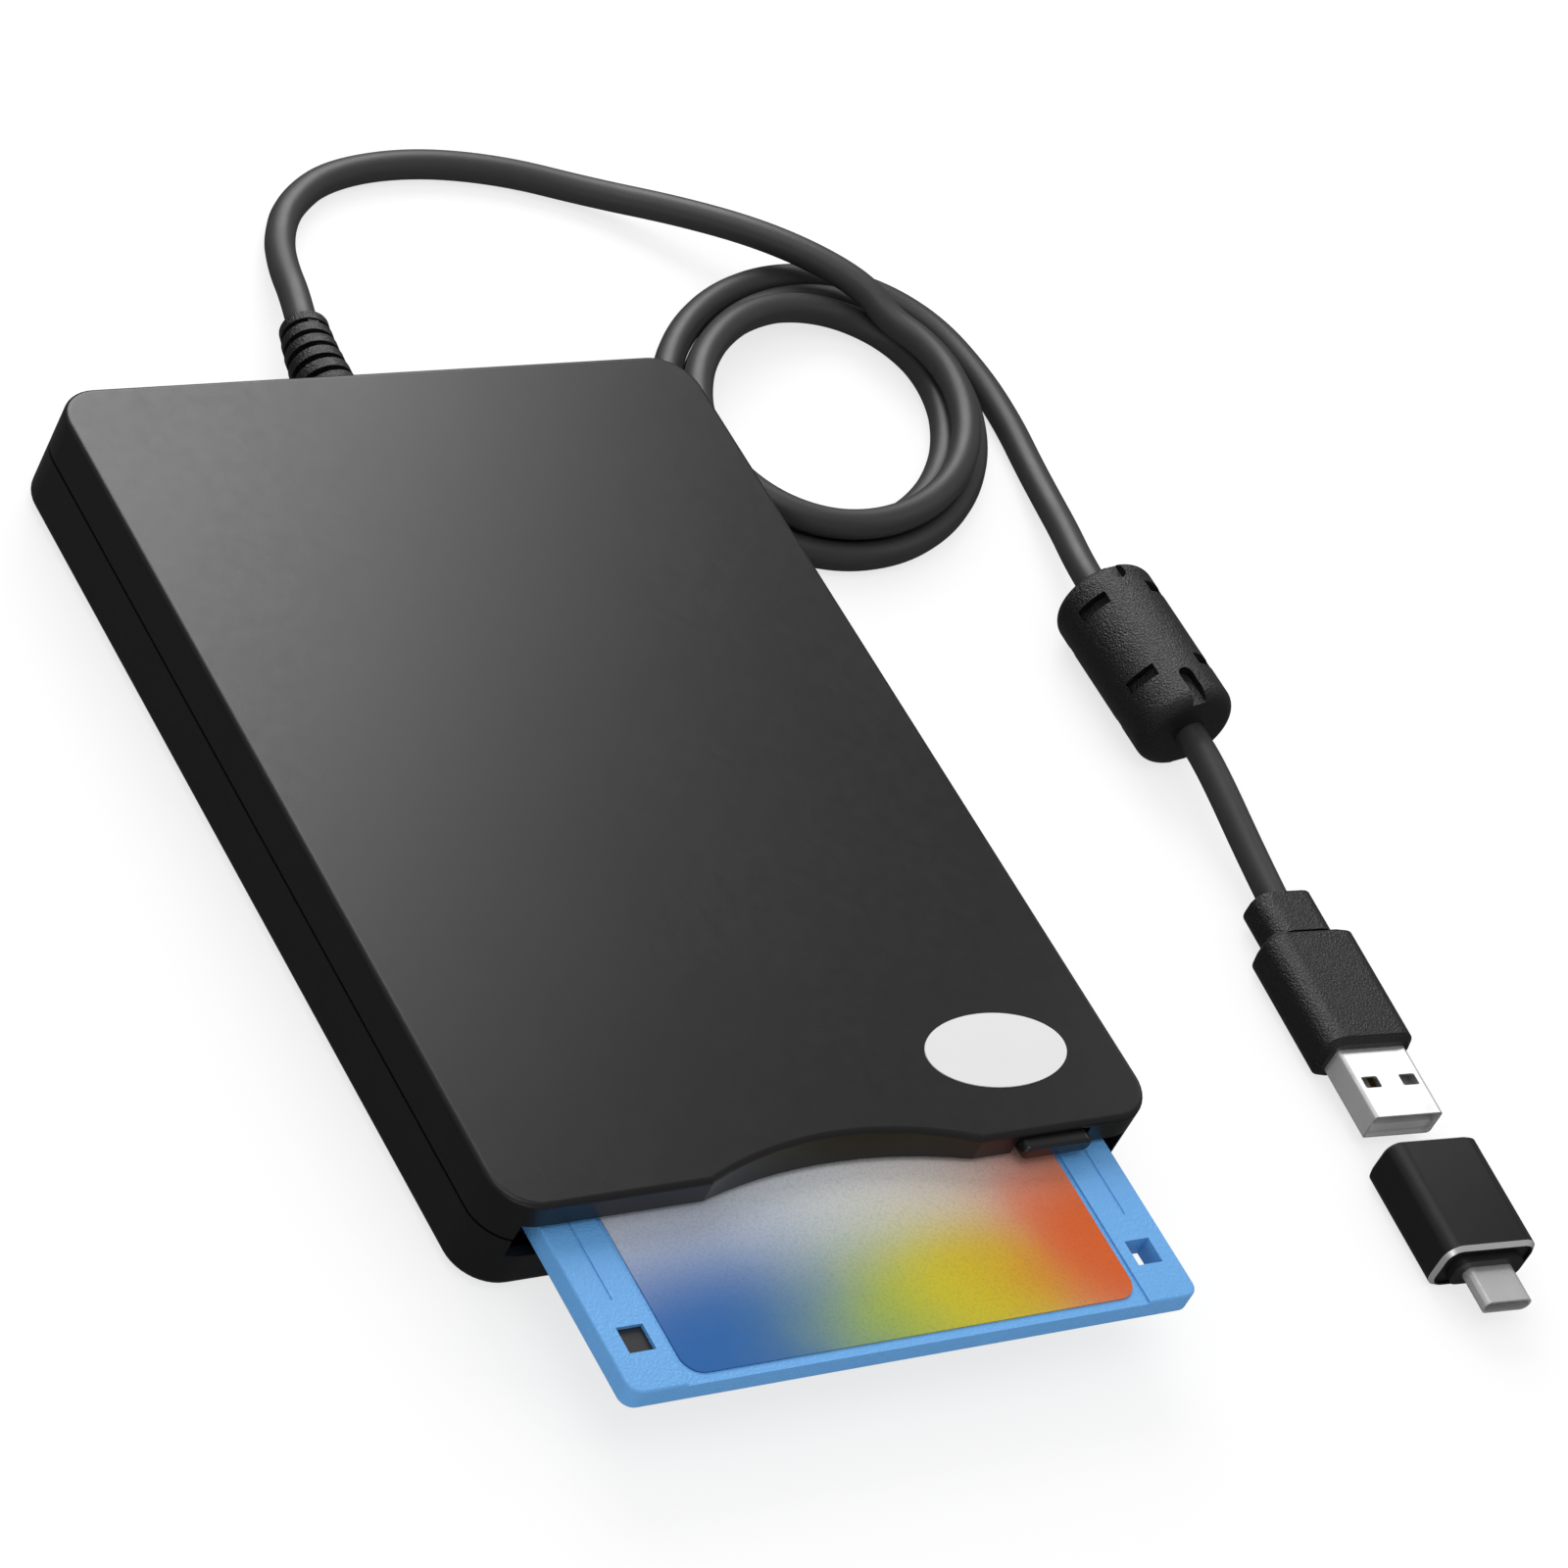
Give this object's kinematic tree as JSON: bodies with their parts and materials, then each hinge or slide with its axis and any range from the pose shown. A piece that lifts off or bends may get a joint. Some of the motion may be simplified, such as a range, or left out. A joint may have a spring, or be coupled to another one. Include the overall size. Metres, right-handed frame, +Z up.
{
  "type": "external floppy disk drive",
  "caption": "Flat external floppy disk drive with a disk half out of its slot, eject button, captive cord with ferrite bead, flat plug and slip-on plug adapter.",
  "frame": {"origin": "middle of the housing's footprint, at the soles of its rubber feet", "axes": "+Z up, +Y to the back where the cord leaves, +X to the right seen from the disk slot at -Y"},
  "size_m": [0.1707, 0.2326, 0.0167],
  "materials": {
    "housing_plastic": "satin moulded black",
    "badge_silver": "satin, bare",
    "foot_rubber": "matt",
    "screw_steel": "zinc plated",
    "sheet_steel": "zinc plated sheet",
    "button_plastic": "half gloss black",
    "lever_plastic": "natural acetal",
    "turned_steel": "ground",
    "bearing_brass": "sintered",
    "coil_copper": "enamelled wire",
    "rotor_steel": "pressed",
    "head_ceramic": "polished",
    "board_green": "solder resist",
    "chip_black": "moulded",
    "ribbon_white": "film",
    "disk_blue": "fine spark-eroded grain",
    "label_paper": "printed film",
    "shutter_steel": "brushed",
    "hub_steel": "pressed",
    "media_film": "oxide film",
    "tab_black": "moulded",
    "boot_black": "fine grain vinyl",
    "cord_grey": "satin vinyl",
    "ferrite_dark": "sintered",
    "plug_nickel": "nickel plated",
    "tongue_plastic": "moulded",
    "contact_gold": "gold flash",
    "adapter_grey": "anodised, bead blasted"
  },
  "bodies": {
    "drive": {"upper_cover": "housing_plastic", "lower_case": "housing_plastic", "badge_plate": "badge_silver", "rubber_feet": "foot_rubber", "case_screws": "screw_steel", "chassis_plate": "sheet_steel", "chassis_screws": "screw_steel", "disk_holder": "sheet_steel", "lever_post": "turned_steel", "spindle_bearing": "bearing_brass", "spindle_stator": "coil_copper", "guide_rod": "turned_steel", "rail_clips": "sheet_steel", "stepper_motor": "rotor_steel", "controller_board": "board_green", "controller_chips": "chip_black", "bridge_board": "board_green", "bridge_chips": "chip_black", "ribbon_cable": "ribbon_white", "strain_relief": "boot_black", "cord_lead": "cord_grey", "cord_coil": "cord_grey", "cord_tail": "cord_grey", "cord_through": "cord_grey", "cord_end": "cord_grey", "ferrite_core": "ferrite_dark", "ferrite_cover": "boot_black", "plug_mould": "boot_black", "plug_shell": "plug_nickel", "plug_tongue": "tongue_plastic", "plug_contacts": "contact_gold"},
    "eject_button": {"eject_button": "button_plastic", "eject_slide": "sheet_steel"},
    "trigger_lever": {"trigger_lever": "lever_plastic"},
    "spindle": {"spindle_rotor": "rotor_steel"},
    "head_carriage": {"head_carriage": "lever_plastic", "lower_head": "head_ceramic"},
    "head_arm": {"upper_head_arm": "turned_steel", "upper_head": "head_ceramic"},
    "lead_screw": {"lead_screw": "turned_steel"},
    "disk": {"disk_case_upper": "disk_blue", "disk_case_lower": "disk_blue", "disk_label": "label_paper"},
    "disk_shutter": {"disk_shutter": "shutter_steel"},
    "disk_media": {"disk_media": "media_film", "disk_hub": "hub_steel"},
    "write_tab": {"write_tab": "tab_black"},
    "plug_adapter": {"adapter_sleeve": "adapter_grey", "adapter_core": "tongue_plastic", "adapter_tip": "plug_nickel"}
  },
  "joints": [
    {"name": "eject_press", "type": "slide", "parent": "drive", "child": "eject_button", "axis": [0, 1, 0], "range_m": [0, 0.002], "stiffness_N_per_m": 250, "springref_m": -0.001},
    {"name": "disk_travel", "type": "slide", "parent": "drive", "child": "disk", "axis": [0, -1, 0], "range_m": [-0.0259, 0.068]},
    {"name": "shutter_slide", "type": "slide", "parent": "disk", "child": "disk_shutter", "axis": [1, 0, 0], "range_m": [0, 0.0155], "stiffness_N_per_m": 12, "springref_m": -0.01},
    {"name": "media_spin", "type": "hinge", "parent": "disk", "child": "disk_media", "pos_m": [0, -0.0504, 0.01], "axis": [0, 0, 1], "continuous": true},
    {"name": "write_tab_slide", "type": "slide", "parent": "disk", "child": "write_tab", "axis": [0, 1, 0], "range_m": [0, 0.0046]},
    {"name": "lever_swing", "type": "hinge", "parent": "drive", "child": "trigger_lever", "pos_m": [-0.038, 0.03, 0.0138], "axis": [0, 0, -1], "range_deg": [0, 45]},
    {"name": "spindle_spin", "type": "hinge", "parent": "drive", "child": "spindle", "pos_m": [0, -0.0245, 0.006], "axis": [0, 0, 1], "continuous": true},
    {"name": "carriage_travel", "type": "slide", "parent": "drive", "child": "head_carriage", "axis": [0, -1, 0], "range_m": [0, 0.0148]},
    {"name": "arm_lift", "type": "hinge", "parent": "head_carriage", "child": "head_arm", "pos_m": [0, 0.04055, 0.0139], "axis": [-1, 0, 0], "range_deg": [0, 1.5], "stiffness_Nm_per_rad": 0.02, "springref_deg": -5.73},
    {"name": "screw_turn", "type": "hinge", "parent": "drive", "child": "lead_screw", "pos_m": [0.013, 0.02, 0.0063], "axis": [0, 1, 0], "range_deg": [0, 1780]},
    {"name": "adapter_slide", "type": "slide", "parent": "drive", "child": "plug_adapter", "axis": [0.075, 0.9972, 0], "range_m": [0, 0.0172]}
  ],
  "couplings": [
    {"joint": "screw_turn", "follows": "carriage_travel", "rad_per_m": 2094.4}
  ]
}
